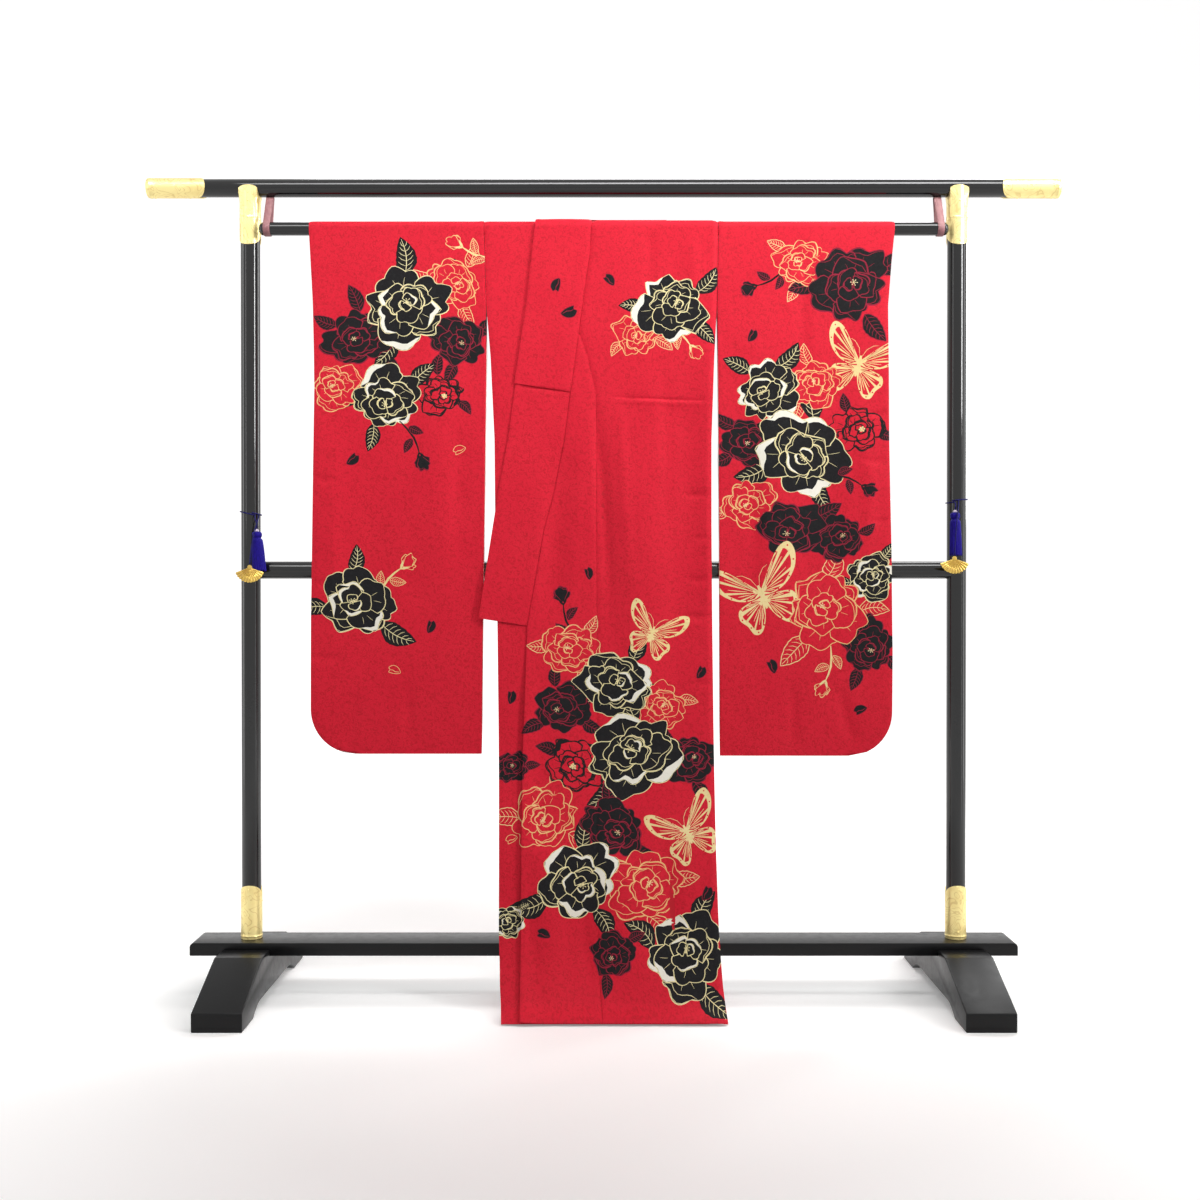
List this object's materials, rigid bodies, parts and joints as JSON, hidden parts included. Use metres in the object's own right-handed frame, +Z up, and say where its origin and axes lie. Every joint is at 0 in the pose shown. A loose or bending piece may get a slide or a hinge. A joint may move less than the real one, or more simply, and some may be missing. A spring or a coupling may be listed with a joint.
{
  "type": "furisode on a kimono stand",
  "caption": "Long-sleeved formal kimono hung flat, left front over right, on the rod of a lacquered kimono stand with gilt fittings and tassels.",
  "frame": {"origin": "on the floor, midway between the stand's two feet", "axes": "+X towards the wearer's left along the stand's rails, +Y towards the garment's back, +Z up"},
  "size_m": [1.864, 0.504, 1.6682],
  "materials": {
    "black_lacquer": "glossy black lacquer",
    "gilt_metal": "bright gilt brass sheet",
    "strap_tape": "dusty rose woven tape",
    "blue_silk": "royal blue silk cord and floss",
    "red_crepe": "red patterned-weave crepe",
    "white_lining": "white silk lining"
  },
  "bodies": {
    "root": {"top_rail": "black_lacquer", "mid_rail": "black_lacquer", "base_board": "black_lacquer", "post_right": "black_lacquer", "post_left": "black_lacquer", "foot_right": "black_lacquer", "foot_left": "black_lacquer", "hanging_rod": "black_lacquer", "cap_right": "gilt_metal", "cap_left": "gilt_metal", "top_fitting_right": "gilt_metal", "top_fitting_left": "gilt_metal", "foot_fitting_right": "gilt_metal", "foot_fitting_left": "gilt_metal", "fan_right": "gilt_metal", "fan_left": "gilt_metal", "strap_right": "strap_tape", "strap_left": "strap_tape", "tassel_right": "blue_silk", "tassel_left": "blue_silk", "tassel_cord_right": "blue_silk", "tassel_cord_left": "blue_silk", "front_right": "red_crepe", "front_left": "red_crepe", "back_right": "red_crepe", "back_left": "red_crepe", "shoulder_right": "red_crepe", "shoulder_left": "red_crepe", "overlap_right": "red_crepe", "overlap_left": "red_crepe", "collar_right": "red_crepe", "collar_left": "red_crepe", "collar_neck": "red_crepe", "over_collar": "red_crepe", "sleeve_right_front": "red_crepe", "sleeve_right_back": "red_crepe", "cuff_right_front": "red_crepe", "cuff_right_back": "red_crepe", "sleeve_right_top": "red_crepe", "sleeve_left_front": "red_crepe", "sleeve_left_back": "red_crepe", "cuff_left_front": "red_crepe", "cuff_left_back": "red_crepe", "sleeve_left_top": "red_crepe", "sleeve_right_lining": "white_lining", "sleeve_left_lining": "white_lining"}
  },
  "joints": []
}
